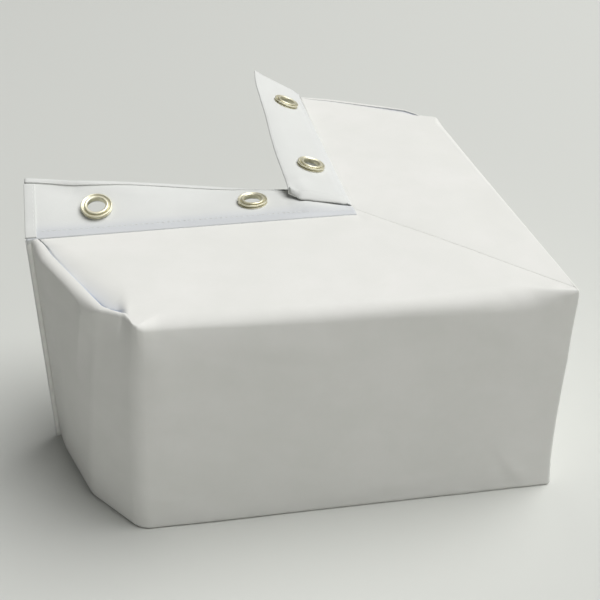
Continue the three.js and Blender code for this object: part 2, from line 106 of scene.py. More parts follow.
def on_plan(leg, points):
    """Length and depth of points of a leg, as places on the plan from the outer corner."""
    points = np.asarray(points, float)
    if leg == "left":
        return np.stack((-points[..., 0], points[..., 1]), -1)
    return np.stack((-points[..., 1], points[..., 0]), -1)


def leg_corners(height):
    """Corners of one leg's plan at a height, as length and depth from the outer corner."""
    foot = 1 - height / PAD_HEIGHT
    curl = max(1 - height / CREASE, 0)
    swell = 0.8 * math.sin(math.pi * height / PAD_HEIGHT)
    reach = from_table(OUTER_CORNER, height) + 0.276 * (1.4 + 1.6 * foot) - swell
    return {
        "fold": np.array((min(BEND_FROM - BEND_SOONER * curl, 297), PAD_DEPTH)),
        "tip": np.array((307.2 + 1.3 * curl, PAD_DEPTH - BEND_DEPTH * curl)),
        "heel": np.array((300.5 + 4.4 * foot, 84 - 5.4 * foot)),
        "shoulder": np.array((270.5 + 16.5 * foot, 23.5 + 9.7 * foot)),
        "front": np.array((250 + 7.7 * foot**2, 3.2 - 4.2 * foot)),
        "outer": np.array((-reach, -reach)),
        "seam": np.array((reach, 2.4 + 3 * foot - reach)),
    }


def offset_line(start, end, inset):
    """The line of a wall from start to end, moved in by inset, as a point and a heading."""
    along = (end - start) / np.linalg.norm(end - start)
    inward = np.array((along[1], -along[0]))
    return start + inward * inset, along


def crossing(one, other):
    """Where two lines meet, each given as a point and a heading."""
    (p, u), (q, v) = one, other
    run = ((q - p)[0] * v[1] - (q - p)[1] * v[0]) / (u[0] * v[1] - u[1] * v[0])
    return p + u * run


# Straight walls round the plan, and how far each swells at half height
WALLS = (
    ("tip", "heel", 0), ("heel", "shoulder", 2.5), ("shoulder", "front", 2.5), ("front", "outer", 0.8),
)
# Points along one leg's plan: straight runs and rounded corners, from the dock's tip to the seam
RUN_POINTS = {"heel": 12, "shoulder": 46, "front": 26, "outer": 100}
ARC_POINTS = {"heel": 12, "shoulder": 20, "front": 22, "outer": 8}


def outline(leg, height, extra=0.0):
    """One leg's plan at a height, from the dock's tip round to the mitre seam, drawn in by extra."""
    at = leg_corners(height)
    foot = 1 - height / PAD_HEIGHT
    bulge = math.sin(math.pi * height / PAD_HEIGHT)
    extra = extra + np.clip(1 - height / 2, 0, 1)
    radius = {"heel": 24, "shoulder": 22, "front": 17, "outer": 1.4 + 1.6 * foot}
    lines = [offset_line(at["fold"], at["tip"], 0)]
    for start, end, swell in WALLS:
        lines.append(offset_line(at[start], at[end], extra - swell * bulge))
    lines.append(offset_line(at["outer"], at["front"][::-1], extra - 0.8 * bulge))
    corners = [crossing(lines[i], lines[i + 1]) for i in range(5)]
    seam = (at["seam"], SEAM_IN)
    if leg == "left":
        seam = [place * (-1, 1) for place in seam]
    else:
        seam = [place[::-1] * (1, -1) for place in seam]
    last = crossing(lines[5] if leg == "left" else lines[4], (seam[0], seam[1] - seam[0]))
    points = [corners[0]]
    names = ["heel", "shoulder", "front"] + (["outer"] if leg == "left" else [])
    start = corners[0]
    for i, name in enumerate(names):
        corner = corners[i + 1]
        after = corners[i + 2] if i + 2 < len(corners) and (leg == "left" or i < 2) else last
        into, out = corner - corners[i], after - corner
        into_length, out_length = np.linalg.norm(into), np.linalg.norm(out)
        into, out = into / into_length, out / out_length
        turn = math.acos(np.clip(into @ out, -1, 1))
        room = min(0.45 * into_length, (0.45 if name != "outer" else 0.85) * out_length)
        cut = min(max(radius[name] - extra, 0.8) * math.tan(turn / 2), room)
        low, high = corner - into * cut, corner + out * cut
        for share in np.linspace(0, 1, RUN_POINTS[name] + 1)[1:]:
            points.append(start + (low - start) * share)
        for share in np.linspace(0, 1, ARC_POINTS[name] + 1)[1:]:
            points.append(low * (1 - share) ** 2 + corner * 2 * share * (1 - share) + high * share**2)
        start = high
    if leg == "left":
        shares = np.linspace(0, 1, 7)[1:]
    else:
        close_rows = 1 - 0.06 * (1 - np.linspace(0, 1, 12)[1:]) ** 1.5
        shares = np.concatenate((np.linspace(0, 0.94, 92)[1:], close_rows))
    for share in shares:
        points.append(start + (last - start) * share)
    return np.array(points)


# Way along the end in mm, from the dock's tip: how far the wall leans in towards its top, or
# out where it is below zero, then how far in and how high the roll above it goes, and how
# boxy the roll is
END_ROLL = (
    (0, 0, 3.8, 5, 2.4), (6, 0, 5.0, 7, 2.6), (10, -0.8, 6.2, 9.5, 2.8), (16.5, -1.9, 7.6, 13, 2.7),
    (24, -2.7, 8.4, 15.5, 2.6), (32, -3.1, 8.8, 16.5, 2.6), (53, -3.0, 8.7, 16.5, 2.5),
    (62, -2.5, 8.4, 14.5, 2.5), (70, -1.7, 7.6, 12, 2.4), (79, 0, 6.0, 8, 2.3), (85, 1.4, 4.7, 5.4, 2.2),
    (91, 2.9, 3.2, 3.2, 2.2), (97, 4.6, 1.9, 2, 2), (103.8, 6.4, 1.3, 1.6, 2), (105.1, 7.4, 0.9, 1.4, 2),
    (108.6, 6.2, 0.9, 1.5, 2), (113, 4.6, 0.9, 1.5, 2), (117, 2.3, 1.0, 1.6, 2), (120, 0.8, 2.2, 2.6, 2),
    (125, 0.2, 5.6, 4.8, 2), (132, 0, 7.6, 5.6, 2), (142, 0, 9.2, 5.8, 2),
)
# Length along the left leg, then how far its outer face leans in at the top
FACE_LEAN = ((95, 0), (145, 1.8), (182, 3), (214, 4.6), (240, 5.4))
# How far the end's wide corner leans in as a whole. Then the distances below the top over
# which this lean and the outer face's lean come in, each with how slowly it does
BROAD_LEAN = 4.6
BROAD_REACH, BROAD_EASE = 125, 1.2
FACE_REACH, FACE_EASE = 26, 1.5
END_EASE = 1.6
# Length along the leg, then how far in and how high the outer face's roll goes
FACE_ROLL = {
    "left": (
        (-9, 0.8, 1.6), (1, 0.8, 1.6), (7, 2.6, 4), (14, 5.4, 7.8), (24, 9.6, 12), (38, 11.5, 13),
        (70, 9.5, 10.5), (105, 8, 9), (145, 7.8, 8), (182, 8.8, 7), (214, 9.6, 6), (240, 9.4, 5.8),
    ),
    "right": ((0, 0.8, 1.6), (20, 1.2, 2), (60, 2.2, 3.5), (120, 3.8, 5), (220, 6, 7), (240, 6.5, 8)),
}
# Way along the end, then the pocket behind the lip: its depth and width, the fall of the top
# into it and the length of that fall
POCKET = (
    (0, 9, 1.5, 0.3, 3), (7, 7, 1.6, 0.8, 5), (13, 3, 2.2, 1.4, 9), (50, 2.8, 2.8, 2.4, 16),
    (72, 3.6, 3.0, 3.0, 18), (82, 5.2, 3.2, 3.6, 19), (92, 5.4, 3.8, 3.4, 18), (103, 3.2, 4.6, 1.9, 14),
    (112, 1.4, 4.6, 0.6, 9),
)
# Length along the leg where the pocket closes in a pleat
PLEAT = 252.6
# Rows down the back of the lip: how far in, and the share of the pocket's depth. Then rows
# over the pocket's floor, from the lip to its far side, and the shares of the slope beyond it
LIP_BACK = 0.9
LIP_ROWS = ((0.25, 0.01), (0.45, 0.04), (0.6, 0.12), (0.68, 0.28), (0.74, 0.5), (0.8, 0.75), (LIP_BACK, 0.93))
POCKET_ROWS = ((0.1, 1.0), (0.3, 0.86), (0.5, 0.66), (0.7, 0.42), (0.85, 0.22), (0.95, 0.08))
SLOPE_ROWS = (0, 0.06, 0.14, 0.24, 0.36, 0.5, 0.64, 0.78, 0.9, 1.0)
# Rows of the back edge, behind the crease: share of the way back, and how far down
HEM_BACK = 0.8
HEM_ROWS = ((1, 0), (0.9, 1.2), (0, 3.0), (0, 5.5))


def top_waves(x, y):
    """Hollows and swells of the top, in mm, over the plan."""
    left_depth, right_depth = y, -x
    depth = np.minimum(left_depth, right_depth)
    wave = 0.35 * smooth(depth, 10, 50) * (1 - smooth(depth, 60, 102))
    wave -= 0.3 * smooth(depth, 102.5, 104.7)
    ripple = np.sin(x / 19 + y / 37) * np.sin(y / 23 - x / 61 + 1.3)
    wave += 0.25 * ripple * smooth(depth, 15, 40) * (1 - smooth(depth, 80, 100))
    start = leg_corners(PAD_HEIGHT)["seam"]
    along = (SEAM_IN - start) / np.linalg.norm(SEAM_IN - start)
    beside = (x - start[0]) * along[1] - (y - start[1]) * along[0]
    wave -= 0.26 * np.exp(-np.abs(beside) / 0.5) + 0.22 * hump(beside, 0, 5)
    # Puckers where the seam meets the outer corner
    wave -= 0.5 * hump(x, -7.5, 3.4) * hump(y, 3.5, 2.2)
    wave += 0.3 * hump(x, -12.5, 4) * hump(y, 5.5, 2.5)
    # Tension fold beside the inner corner
    wave -= 0.5 * hump(x, -103, 5) * hump(y, 101, 6)
    return wave


def wall_waves(leg, length, height):
    """Hollows and swells of the outer face, in mm, over length and height."""
    if leg == "right":
        return 0.5 * np.sin(length / 31 + height / 47) * np.sin(height / 49 + 0.7) * smooth(length, 0, 30)
    wave = 0.4 * np.sin(length / 27 + height / 53 + 0.4) * np.sin(height / 45 - length / 90 + 0.9)
    wave *= smooth(length, 4, 40) * smooth(height, 0, 12) * (1 - smooth(height, 124, 138))
    # Drag lines low beside the outer corner
    run = (length - 14) * 0.55 + (height - 8) * 0.83
    across = (length - 14) * 0.83 - (height - 8) * 0.55
    wave += 0.4 * hump(across, 0, 3.2) * hump(run, 18, 22)
    wave -= 0.35 * hump(across, 8, 4) * hump(run, 12, 18)
    wave += 0.35 * hump(across, 38, 6) * hump(run, 2, 20)
    # Slack at the foot of the far end
    wave += 0.6 * hump(height, 8, 9) * hump(length, 205, 32)
    # Puckers just below the outer corner's tip
    wave -= 0.45 * hump(length, 9, 3) * hump(height, 144, 3)
    wave += 0.3 * hump(length, 5, 2.5) * hump(height, 142, 3)
    return wave


def cover_grid(leg):
    """Rows of points of one panel from the floor up the wall, over the roll, through the
    pocket and across the top to the crease, and down behind it, and for each point its
    share of blue-grey painted shade, which is strongest in the pocket behind the lip."""
    crest = outline(leg, PAD_HEIGHT)
    way = np.concatenate(([0], np.cumsum(np.linalg.norm(np.diff(crest, axis=0), axis=1))))
    station = np.arange(len(crest))
    lean, roll_in, roll_high, boxy = from_table(END_ROLL, way)
    broad_lean = BROAD_LEAN * smooth(way, 60, 98) * (1 - smooth(way, 106, 136))
    end_reach = 60 - 40 * smooth(way, 62, 98)
    on_face = smooth(way, 128, 140)
    face_in, face_high = from_table(FACE_ROLL[leg], crest[:, 0])
    if leg == "left":
        face_lean = from_table(FACE_LEAN, crest[:, 0]) * smooth(way, 119, 134)
    else:
        face_lean = np.zeros(len(crest))
    roll_in = roll_in + (face_in - roll_in) * on_face
    roll_high = roll_high + (face_high - roll_high) * on_face
    depth, width, dip, slope = from_table(POCKET, way)
    if leg == "right":
        # This end isn't in view, and its tuck is flatter
        width, dip, slope = width * 0.4, dip * 0.3, slope * 0.6

    insets = np.linspace(0, POCKET_ROOM, 53)
    drawn = np.array([outline(leg, PAD_HEIGHT, inset) for inset in insets])
    levels = np.concatenate(([0, 0.6, 1.3, 2, 3.2, 5, 8], np.linspace(12, PAD_HEIGHT, 40)))
    walls = np.array([outline(leg, level) for level in levels])

    def pick(stack, marks, value):
        lower = np.clip(np.searchsorted(marks, value) - 1, 0, len(marks) - 2)
        share = ((value - marks[lower]) / (marks[lower + 1] - marks[lower]))[:, None]
        return stack[lower, station] * (1 - share) + stack[lower + 1, station] * share

    def at_inset(inset):
        return pick(drawn, insets, np.clip(inset, 0, POCKET_ROOM))

    def wall_at(height, inset):
        points = pick(walls, levels, height) + at_inset(inset) - crest
        ahead = np.gradient(points, axis=0)
        ahead /= np.linalg.norm(ahead, axis=1)[:, None]
        outward = np.stack((-ahead[:, 1], ahead[:, 0]), 1)
        waves = wall_waves(leg, points[:, 0], height) * smooth(-points[:, 0], -244, -230)
        waves = waves * (1 - smooth(height, PAD_HEIGHT - 4, PAD_HEIGHT))
        return points + outward * waves[:, None], height

    def near_top(height, reach, ease):
        return np.clip((height - PAD_HEIGHT + reach) / reach, 0, 1) ** ease

    def leaned(height):
        wide = broad_lean * near_top(height, BROAD_REACH, BROAD_EASE)
        own = (lean - broad_lean) * near_top(height, end_reach, END_EASE)
        return wide + own + face_lean * near_top(height, FACE_REACH, FACE_EASE)

    rings = []
    for low in (0, 0.6, 1.3, 2, 3.2, 5):
        rings.append(wall_at(np.full(len(crest), float(low)), leaned(low)))
    for share in np.linspace(0, 1, 44):
        height = 8 + (PAD_HEIGHT - roll_high - 8) * share
        rings.append(wall_at(height, leaned(height)))
    for angle in np.linspace(0, math.pi / 2, 16)[1:]:
        height = PAD_HEIGHT - roll_high * (1 - math.sin(angle) ** (2 / boxy))
        inset = leaned(height) + roll_in * (1 - max(math.cos(angle), 0) ** (2 / boxy))
        rings.append(wall_at(height, inset))
    first_top = len(rings)
    edge = lean + face_lean + roll_in
    closed = np.zeros(len(crest))
    painted_shade_marks = [closed] * first_top

    def inner_ring(inset, drop, painted_shade):
        points = at_inset(edge + inset)
        length, inward = points[:, 0], points[:, 1]
        open_share = smooth(length, PLEAT - 1.5, PLEAT + 4.5)
        ridge = 0.15 * hump(length, PLEAT - 1.2, 2.6) * smooth(inward, 15, 19) * (1 - smooth(inward, 25, 33))
        rings.append((points, PAD_HEIGHT - drop * open_share + ridge * smooth(inset, 0, 1.5)))
        # This ring's share of painted shade: none past the pleat, and stronger along the far part of the end
        painted_shade_marks.append(painted_shade * open_share * (0.45 + 0.55 * smooth(way, 50, 85)))

    # Painted shade grows down the back of the lip, is full over the pocket's floor and fades up the slope
    # beyond
    for inset, sink in LIP_ROWS:
        inner_ring(np.full(len(crest), inset), depth * sink, min(sink * 2, 1))
    for share, sink in POCKET_ROWS:
        inner_ring(LIP_BACK + (width - LIP_BACK) * share, dip + (depth - dip) * sink, 1.0)
    for share in SLOPE_ROWS:
        inner_ring(width + slope * share, dip * (1 - share) ** 2.2, 0.5 * (1 - share) ** 4)
    widest = edge + width + slope
    for share in (0.25, 0.5, 0.75, 1.0):
        inset = widest + (POCKET_ROOM - widest) * share
        rings.append((at_inset(inset), np.full(len(crest), PAD_HEIGHT)))
        painted_shade_marks.append(closed)
    # The rest of the top runs straight to the crease: the end of the leg goes to the crease's
    # far stretch, and the outer face to all that is nearer the corner
    end_goal, face_goal = 222, 196
    start = at_inset(np.full(len(crest), POCKET_ROOM))
    front = float(np.interp(-250, -crest[:, 0], way))
    front_station = int(np.searchsorted(way, front))
    along = np.empty(len(crest))
    along[:front_station] = np.interp(way[:front_station], (0, front), (end_goal, face_goal))
    face = (way[front_station:] - front) / (way[-1] - front)
    corner = SEAM_IN[1]
    end = PAD_DEPTH - (corner - PAD_DEPTH) if leg == "left" else corner
    along[front_station:] = face_goal + (end - face_goal) * face
    goal = np.stack((along, np.full(len(crest), PAD_DEPTH)), 1)
    if leg == "left":
        past = along < PAD_DEPTH
        goal[past, 1] = 2 * PAD_DEPTH - along[past]
        goal[past, 0] = PAD_DEPTH
    for share in np.concatenate((np.linspace(0, 0.96, 44)[1:], (0.972, 0.982, 0.99, 0.996, 1.0))):
        rings.append((start + (goal - start) * share, np.full(len(crest), PAD_HEIGHT)))
        painted_shade_marks.append(closed)
    grid = np.empty((len(rings), len(crest), 3))
    for row, (points, heights) in enumerate(rings):
        grid[row, :, :2] = on_plan(leg, points)
        grid[row, :, 2] = heights
    top = grid[first_top - 1:]
    shrink = smooth(np.arange(len(top)), -0.5, 8)[:, None]
    top[:, :, 2] += top_waves(top[:, :, 0], top[:, :, 1]) * shrink
    # The back edge reaches against the flange, then tucks down along the back sheet
    behind = np.array((0, HEM_BACK, 0)) if leg == "left" else np.array((-HEM_BACK, 0, 0))
    hem = [grid[-1] + behind * back - (0, 0, drop) for back, drop in HEM_ROWS]
    return np.concatenate((grid, hem)), np.array(painted_shade_marks + [closed] * len(hem))


def skin_from_grid(name, grid, outward, painted_shade_marks=None):
    """A piece from rows of points in mm on the plan, with its faces outward."""
    rows, columns = grid.shape[:2]
    places = (grid.reshape(-1, 3) + np.array((ORIGIN, -ORIGIN, 0))) * 0.001
    index = np.arange(rows * columns).reshape(rows, columns)
    faces = np.stack((index[:-1, :-1], index[:-1, 1:], index[1:, 1:], index[1:, :-1]), -1).reshape(-1, 4)
    if not outward:
        faces = faces[:, ::-1]
    mesh = bpy.data.meshes.new(name)
    mesh.from_pydata(places.tolist(), [], faces.tolist())
    mesh.validate()
    # Each point's share of blue-grey painted shade, which the cloth's material lays over its colour
    marks = mesh.attributes.new("painted_shade", "FLOAT", "POINT")
    if painted_shade_marks is not None:
        marks.data.foreach_set("value", np.ascontiguousarray(painted_shade_marks, np.float32).reshape(-1))
    piece = bpy.data.objects.new(name, mesh)
    scene.collection.objects.link(piece)
    mesh.shade_smooth()
    return piece


def only(piece):
    bpy.ops.object.select_all(action="DESELECT")
    piece.select_set(True)
    bpy.context.view_layer.objects.active = piece


def solidify(piece, thickness, offset):
    only(piece)
    wall = piece.modifiers.new("wall", "SOLIDIFY")
    wall.thickness = thickness * 0.001
    wall.offset = offset
    bpy.ops.object.modifier_apply(modifier="wall")


def socket(group, way, name, kind, value=None):
    made = group.interface.new_socket(name, in_out=way, socket_type="NodeSocket" + kind)
    if value is not None:
        made.default_value = value
    return made


def node(tree, kind, **values):
    made = tree.nodes.new(kind)
    for key, value in values.items():
        if hasattr(made, key):
            setattr(made, key, value)
        else:
            made.inputs[key.replace("_", " ")].default_value = value
    return made


def wire(tree, *links):
    """Joins sockets: each link is a node, its output, the next node and its input."""
    for source, out, target, into in links:
        tree.links.new(source.outputs[out], target.inputs[into])


# Grain of the coating: fine pebbles and slow waves, with a colour that drifts over the cloth.
# The group also paints shade into the colour: a blue-grey painted shade where the meshes
# mark it, and a painted shade that darkens the cloth towards the foot
grain = bpy.data.node_groups.new("vinyl_grain", "ShaderNodeTree")
socket(grain, "INPUT", "Tint", "Color", (0.8, 0.8, 0.78, 1))
socket(grain, "INPUT", "Shade", "Color", (0.7, 0.7, 0.66, 1))
socket(grain, "INPUT", "Pebble Scale", "Float", 1400)
socket(grain, "INPUT", "Pebble Strength", "Float", 0.12)
socket(grain, "INPUT", "Crease Strength", "Float", 0.25)
socket(grain, "INPUT", "Painted Shade Tint", "Color", (0.86, 0.9, 0.97, 1))
socket(grain, "INPUT", "Painted Foot Shade", "Float", 0.0)
socket(grain, "OUTPUT", "Color", "Color")
socket(grain, "OUTPUT", "Roughness", "Float")
socket(grain, "OUTPUT", "Normal", "Vector")
inlet = node(grain, "NodeGroupInput")
outlet = node(grain, "NodeGroupOutput")
place = node(grain, "ShaderNodeTexCoord")
drift = node(grain, "ShaderNodeTexNoise", Scale=9.0, Detail=3.0, Roughness=0.55)
mottle = node(grain, "ShaderNodeTexNoise", Scale=55.0, Detail=4.0, Roughness=0.6)
both = node(grain, "ShaderNodeMath", operation="MULTIPLY")
spread = node(grain, "ShaderNodeMapRange", From_Min=0.16, From_Max=0.36)
mix = node(grain, "ShaderNodeMix", data_type="RGBA")
# Painted shade: the colour is mixed towards the blue-grey shade colour by a per-point share that the meshes
# carry
painted_shade = node(grain, "ShaderNodeAttribute", attribute_name="painted_shade")
painted_shade_share = node(grain, "ShaderNodeMath", operation="MULTIPLY")
painted_shade_share.inputs[1].default_value = 0.8
painted_shade_mix = node(grain, "ShaderNodeMix", data_type="RGBA")
# Painted shade darker towards the foot: over the lowest 0.11 m the colour is mixed towards a darker grey
apart = node(grain, "ShaderNodeSeparateXYZ")
low = node(grain, "ShaderNodeMapRange", From_Max=0.11, To_Min=1.0, To_Max=0.0)
painted_foot_shade_share = node(grain, "ShaderNodeMath", operation="MULTIPLY")
painted_foot_shade_mix = node(grain, "ShaderNodeMix", data_type="RGBA")
painted_foot_shade_mix.inputs["B"].default_value = (0.5, 0.515, 0.51, 1)
pebble = node(grain, "ShaderNodeTexVoronoi", feature="SMOOTH_F1")
fine = node(grain, "ShaderNodeTexNoise", Scale=420.0, Detail=3.0)
drawn_out = node(grain, "ShaderNodeMapping", Scale=(1, 1, 1.8))
wave = node(grain, "ShaderNodeTexNoise", Scale=20.0, Detail=1.5, Roughness=0.45, Distortion=0.4)
pebble_bump = node(grain, "ShaderNodeBump", Distance=0.0002)
fine_bump = node(grain, "ShaderNodeBump", Distance=0.0003, Strength=0.08)
wave_bump = node(grain, "ShaderNodeBump", Distance=0.004)
gloss = node(grain, "ShaderNodeMapRange", To_Min=0.55, To_Max=0.7)
wire(
    grain, (place, "Object", drawn_out, "Vector"), (drawn_out, "Vector", wave, "Vector"),
)
for target in (drift, mottle, pebble, fine):
    wire(grain, (place, "Object", target, "Vector"))
wire(
    grain, (inlet, "Pebble Scale", pebble, "Scale"), (drift, "Fac", both, 0),
    (mottle, "Fac", both, 1), (both, 0, spread, "Value"), (spread, 0, mix, "Factor"),
    (inlet, "Shade", mix, "A"), (inlet, "Tint", mix, "B"), (mottle, "Fac", gloss, "Value"),
    (wave, "Fac", wave_bump, "Height"), (inlet, "Crease Strength", wave_bump, "Strength"),
    (fine, "Fac", fine_bump, "Height"), (wave_bump, "Normal", fine_bump, "Normal"),
    (pebble, "Distance", pebble_bump, "Height"),
    (inlet, "Pebble Strength", pebble_bump, "Strength"),
    (fine_bump, "Normal", pebble_bump, "Normal"), (painted_shade, "Fac", painted_shade_share, 0),
    (painted_shade_share, 0, painted_shade_mix, "Factor"), (mix, "Result", painted_shade_mix, "A"), (inlet, "Painted Shade Tint", painted_shade_mix, "B"),
    (place, "Object", apart, "Vector"), (apart, "Z", low, "Value"), (low, 0, painted_foot_shade_share, 0),
    (inlet, "Painted Foot Shade", painted_foot_shade_share, 1), (painted_foot_shade_share, 0, painted_foot_shade_mix, "Factor"), (painted_shade_mix, "Result", painted_foot_shade_mix, "A"),
    (painted_foot_shade_mix, "Result", outlet, "Color"), (gloss, 0, outlet, "Roughness"),
    (pebble_bump, "Normal", outlet, "Normal"),
)


def coated_cloth(name, tint, shade, creases, painted_shade_tint, painted_foot_shade):
    """Coated fabric: its colours, how strong its creases are, its blue-grey painted shade and its painted
    shade towards the foot.
    """
    material = bpy.data.materials.new(name)
    material.use_nodes = True
    tree = material.node_tree
    shader = tree.nodes["Principled BSDF"]
    shader.inputs["Specular IOR Level"].default_value = 0.06
    shader.inputs["Sheen Weight"].default_value = 0.03
    surface = tree.nodes.new("ShaderNodeGroup")
    surface.node_tree = grain
    surface.inputs["Tint"].default_value = (*tint, 1)
    surface.inputs["Shade"].default_value = (*shade, 1)
    surface.inputs["Crease Strength"].default_value = creases
    surface.inputs["Painted Shade Tint"].default_value = (*painted_shade_tint, 1)
    surface.inputs["Painted Foot Shade"].default_value = painted_foot_shade
    wire(
        tree, (surface, "Color", shader, "Base Color"), (surface, "Roughness", shader, "Roughness"),
        (surface, "Normal", shader, "Normal"),
    )
    return material


# The fourth colour is the blue-grey painted shade for the pocket behind the lip, and the last value is how
# much painted shade darkens the cover towards its foot
vinyl = coated_cloth("white_vinyl", (0.815, 0.81, 0.775), (0.79, 0.79, 0.75), 0.42, (0.46, 0.51, 0.62), 0.11)
covers = {}
for leg in ("left", "right"):
    grid, painted_shade_marks = cover_grid(leg)
    cover = skin_from_grid(leg + "_cover", grid, leg == "left", painted_shade_marks)
    solidify(cover, COVER_THICKNESS, -1)
    cover.data.materials.append(vinyl)
    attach(cover, "root")
    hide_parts(leg + "_wrap_panel")
    covers[leg] = cover


# Foam pad inside the cover. One block of white closed-cell foam, L-shaped on plan, with its
# ends cut back under the lips so that the flaps can tuck in. It is held by the cover alone.
FOAM_INSET = 2.6
FOAM_BACK = PAD_DEPTH - 0.4
# Height, then how far the outer faces and the ends are drawn in
FOAM_LEVELS = (
    (1.8, 0, 0), (25, 0, 0.5), (60, 0, 2.2), (105, 0, 4.6), (120, 0, 6.4), (128, 0.6, 8), (134, 2.2, 11),
    (140, 5, 16), (144.5, 9, 22), (146.4, 13, 29),
)
foam_places, foam_faces = [], []
for height, face_draw, end_draw in FOAM_LEVELS:
    ring = []
    for leg in ("left", "right"):
        ends = outline(leg, height, FOAM_INSET + end_draw)
        faces = outline(leg, height, FOAM_INSET + face_draw)
        share = smooth(-faces[:, 0], -245, -225)[:, None]
        side = (ends * (1 - share) + faces * share)[::3]
        side[0, 1] = min(side[0, 1], FOAM_BACK)
        fold = np.array((min(leg_corners(height)["fold"][0], side[0, 0] - 2), FOAM_BACK))
        ring.append(on_plan(leg, np.concatenate(([fold], side))))
    left, right = ring
    ring = np.concatenate((left, right[::-1], [(-FOAM_BACK, FOAM_BACK)]))
    foam_places.extend(((x + ORIGIN) * 0.001, (y - ORIGIN) * 0.001, height * 0.001) for x, y in ring)
around = len(ring)
for level in range(len(FOAM_LEVELS) - 1):
    for k in range(around):
        a, b = level * around + k, level * around + (k + 1) % around
        foam_faces.append((a, b, b + around, a + around))
# The foot and the top of the L are each closed as two near-rectangles that meet on the mitre
for level in (0, len(FOAM_LEVELS) - 1):
    first, inner = level * around, level * around + around - 1
    foam_faces.append([first + k for k in range(len(left) + 1)] + [inner])
    foam_faces.append([first + k for k in range(len(left), around)])
foam_mesh = bpy.data.meshes.new("foam_pad")
foam_mesh.from_pydata(foam_places, [], foam_faces)
foam_mesh.shade_smooth()
foam_pad = bpy.data.objects.new("foam_pad", foam_mesh)
scene.collection.objects.link(foam_pad)
only(foam_pad)
bpy.ops.object.mode_set(mode="EDIT")
bpy.ops.mesh.select_all(action="SELECT")
bpy.ops.mesh.normals_make_consistent(inside=False)
bpy.ops.object.mode_set(mode="OBJECT")

foam = bpy.data.materials.new("closed_cell_foam")
foam.use_nodes = True
shader = foam.node_tree.nodes["Principled BSDF"]
cells = node(foam.node_tree, "ShaderNodeTexVoronoi", Scale=900.0)
place = node(foam.node_tree, "ShaderNodeTexCoord")
tone = node(foam.node_tree, "ShaderNodeValToRGB")
tone.color_ramp.elements[0].color = (0.48, 0.46, 0.4, 1)
tone.color_ramp.elements[1].color = (0.66, 0.64, 0.57, 1)
pits = node(foam.node_tree, "ShaderNodeBump", Strength=0.5, Distance=0.0004)
shader.inputs["Roughness"].default_value = 0.92
wire(
    foam.node_tree, (place, "Object", cells, "Vector"), (cells, "Distance", tone, "Fac"),
    (cells, "Distance", pits, "Height"), (tone, "Color", shader, "Base Color"),
    (pits, "Normal", shader, "Normal"),
)
foam_pad.data.materials.append(foam)
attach(foam_pad, "root")
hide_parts("foam_core")


# Bottom sheet. The same coated fabric, cut to the L of the pad and sewn to the foot of the
# cover all round. It lies flat on the floor.
BOTTOM_INSET = 1.3
BOTTOM_BACK = PAD_DEPTH - 0.6
bottom_plan = [on_plan(leg, outline(leg, 0.0, BOTTOM_INSET)) for leg in ("left", "right")]
bottom_fold = np.array((leg_corners(0)["fold"][0], BOTTOM_BACK))
bottom_ring = np.concatenate((
    bottom_plan[0][1:], bottom_plan[1][::-1][1:-1],
    [on_plan("right", bottom_fold), (-BOTTOM_BACK, BOTTOM_BACK), on_plan("left", bottom_fold)],
))
bottom_mesh = bpy.data.meshes.new("bottom_sheet")
bottom_places = (bottom_ring + np.array((ORIGIN, -ORIGIN))) * 0.001
bottom_height = COVER_THICKNESS * 0.001
bottom_face = list(range(len(bottom_ring)))
bottom_mesh.from_pydata([(x, y, bottom_height) for x, y in bottom_places], [], [bottom_face])
bottom_sheet = bpy.data.objects.new("bottom_sheet", bottom_mesh)
scene.collection.objects.link(bottom_sheet)
if bottom_mesh.polygons[0].normal.z < 0:
    bottom_mesh.flip_normals()
solidify(bottom_sheet, COVER_THICKNESS, -1)
bottom_sheet.data.materials.append(vinyl)
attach(bottom_sheet, "root")
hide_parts("bottom_panel")


# Back sheets. Each is one sheet of coated fabric behind a leg, sewn to the cover along the
# crease, and rises past it as the flange that is fastened to the dock. The right flange lies
# over the left one at the inner corner.
FLANGE_HEIGHT = 42.0
PANEL_EDGE = 310.0
SHEET_DEPTH = 105.1
SHEET_THICKNESS = 0.6
FOLD_RADIUS = 0.31
# Length along the leg, then lean and curl of the flange in degrees
LEFT_SHAPE = (
    (105, -9, 12), (112, -9, 12), (158.4, -1, 33), (179.6, -1, 33), (256.4, 20.5, 4), (277.6, 20.5, 4),
    (310, 33, 0),
)
RIGHT_SHAPE = (
    (105, 14, 22), (113.5, 14, 22), (151.4, 14.4, 23), (172.6, 14.4, 23), (257.4, 21, 26), (278.6, 21, 26),
    (310, 30, 10),
)
# Length along the leg, then how far the free edge curls over in degrees
LEFT_EDGE = (
    (105, -4.6), (112, -4.6), (125, -1.1), (140, 21.2), (150, 32.2), (158, 30.9), (169, 17.2), (180, 2),
    (190, -7.5), (200, -7.8), (210, -2.1), (220, 5.9), (230, 13.1), (240, 16.4), (250, 12.6), (257, 4),
    (262, -3.8), (267, -12), (272, -20.5), (278, -31.7), (284, -33.7), (290, -23.4), (300, -1.7), (310, -0.4),
)
RIGHT_EDGE = (
    (105, 14), (113.5, 14), (160, 14), (240, 13), (257, 10), (268, 0), (279, -7), (290, 0), (300, 7),
    (310, -6),
)
# Lengths at which each sheet starts, below the crease and above it, as its flange
RIGHT_START = 117.0
FLANGE = {
    "left": {"panel": 105.8, "start": 104.5, "shape": LEFT_SHAPE, "edge": LEFT_EDGE},
    "right": {"panel": 105.0, "start": RIGHT_START, "shape": RIGHT_SHAPE, "edge": RIGHT_EDGE},
}
# The flange's section is drawn in short steps from just below the crease
FLANGE_FOOT = -3.0
FLANGE_STEP = 0.25
ABOVE_STEPS = np.arange(FLANGE_FOOT, FLANGE_HEIGHT + 0.3, FLANGE_STEP)
